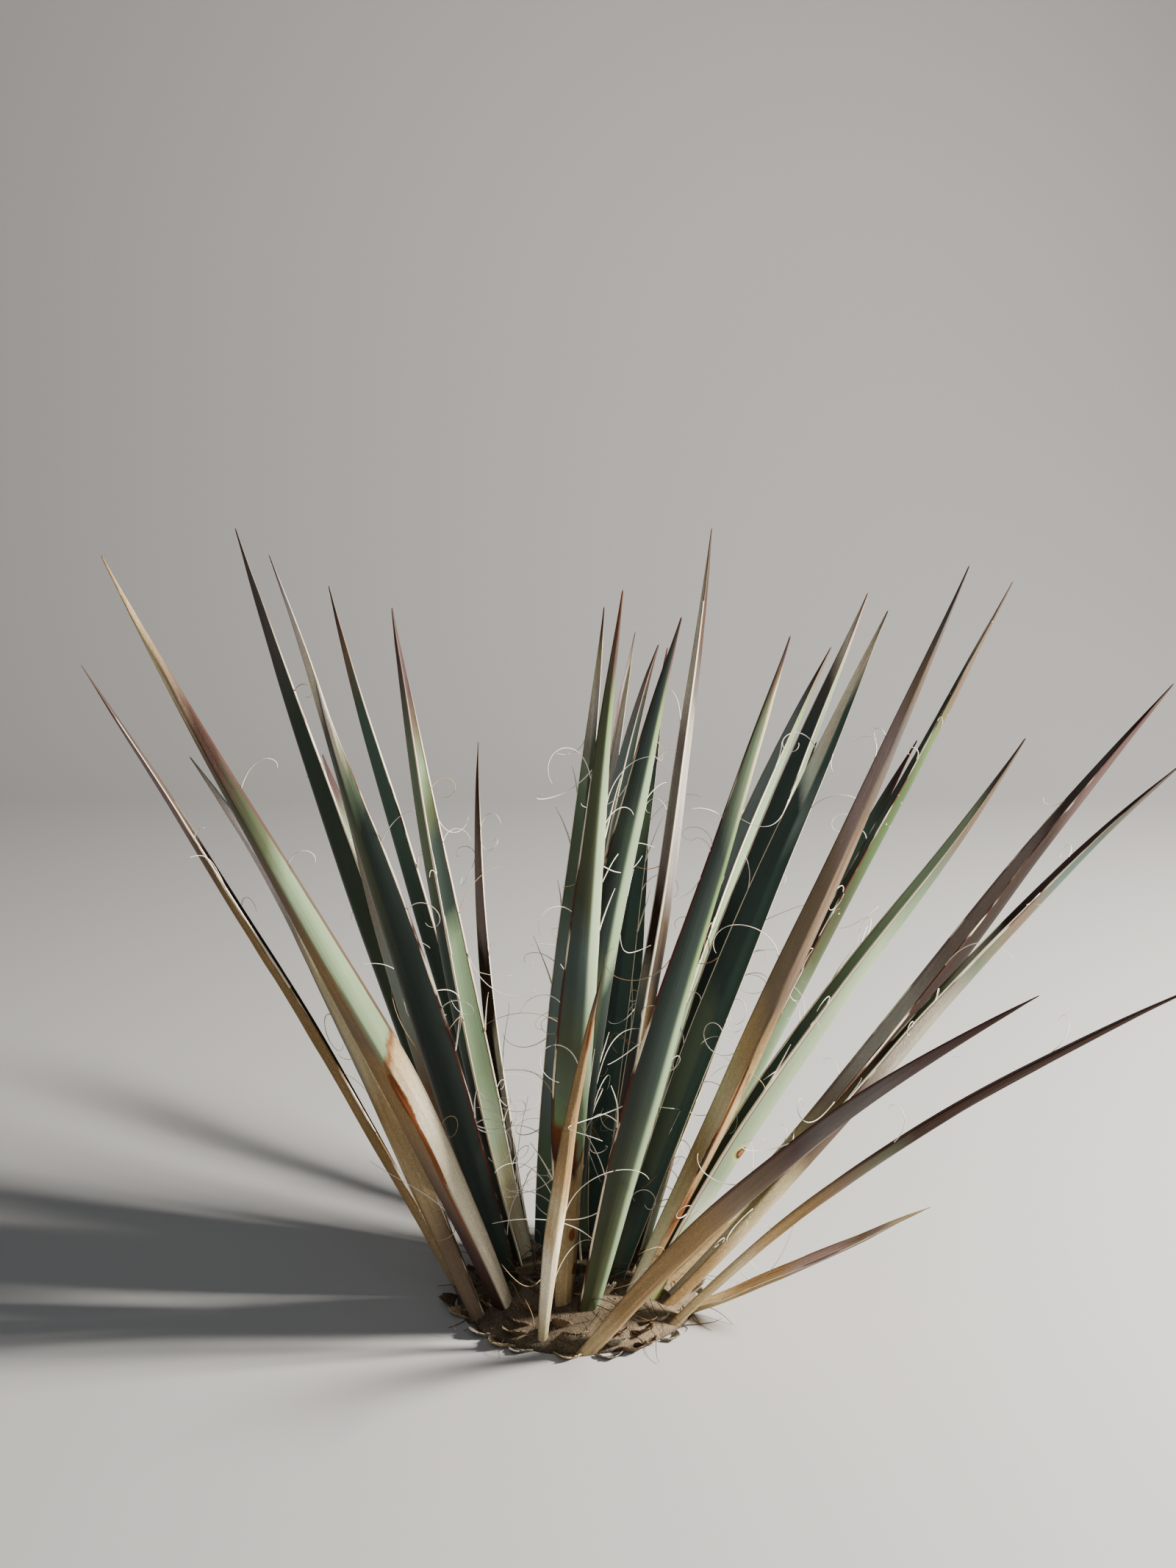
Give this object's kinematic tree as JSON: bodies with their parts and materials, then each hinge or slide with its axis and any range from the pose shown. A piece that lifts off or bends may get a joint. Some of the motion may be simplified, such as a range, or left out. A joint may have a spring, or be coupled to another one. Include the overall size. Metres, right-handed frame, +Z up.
{
  "type": "banana yucca",
  "caption": "Stemless desert yucca: long, stiff, gutter-shaped leaves with spine tips, fanning up and out from a low woody crown that is fixed in level ground.",
  "frame": {"origin": "middle of the crown's flat cut at ground level", "axes": "+Z up, +X to the right and +Y away, seen from the front of the plant"},
  "size_m": [1.1664, 0.8902, 0.8544],
  "materials": {
    "crown": "dry, fibrous",
    "leaf": "waxy, matt, brown at margin and tip",
    "dry_leaf": "dry, straw-like"
  },
  "bodies": {
    "root": {"back_leaf_1": "leaf", "back_leaf_2": "leaf", "back_leaf_3": "leaf", "back_leaf_4": "leaf", "back_leaf_5": "leaf", "crown": "crown", "left_leaf_1": "leaf", "left_leaf_2": "leaf", "left_leaf_3": "leaf", "left_leaf_4": "leaf", "left_leaf_5": "leaf", "left_leaf_6": "leaf", "left_leaf_7": "leaf", "left_leaf_8": "leaf", "left_leaf_9": "leaf", "middle_leaf_1": "leaf", "middle_leaf_2": "leaf", "middle_leaf_3": "dry_leaf", "middle_leaf_4": "leaf", "middle_leaf_5": "leaf", "middle_leaf_6": "leaf", "middle_leaf_7": "leaf", "middle_leaf_8": "leaf", "right_leaf_1": "leaf", "right_leaf_10": "leaf", "right_leaf_11": "leaf", "right_leaf_12": "dry_leaf", "right_leaf_2": "leaf", "right_leaf_3": "leaf", "right_leaf_4": "leaf", "right_leaf_5": "leaf", "right_leaf_6": "leaf", "right_leaf_7": "leaf", "right_leaf_8": "leaf", "right_leaf_9": "leaf"}
  },
  "joints": []
}
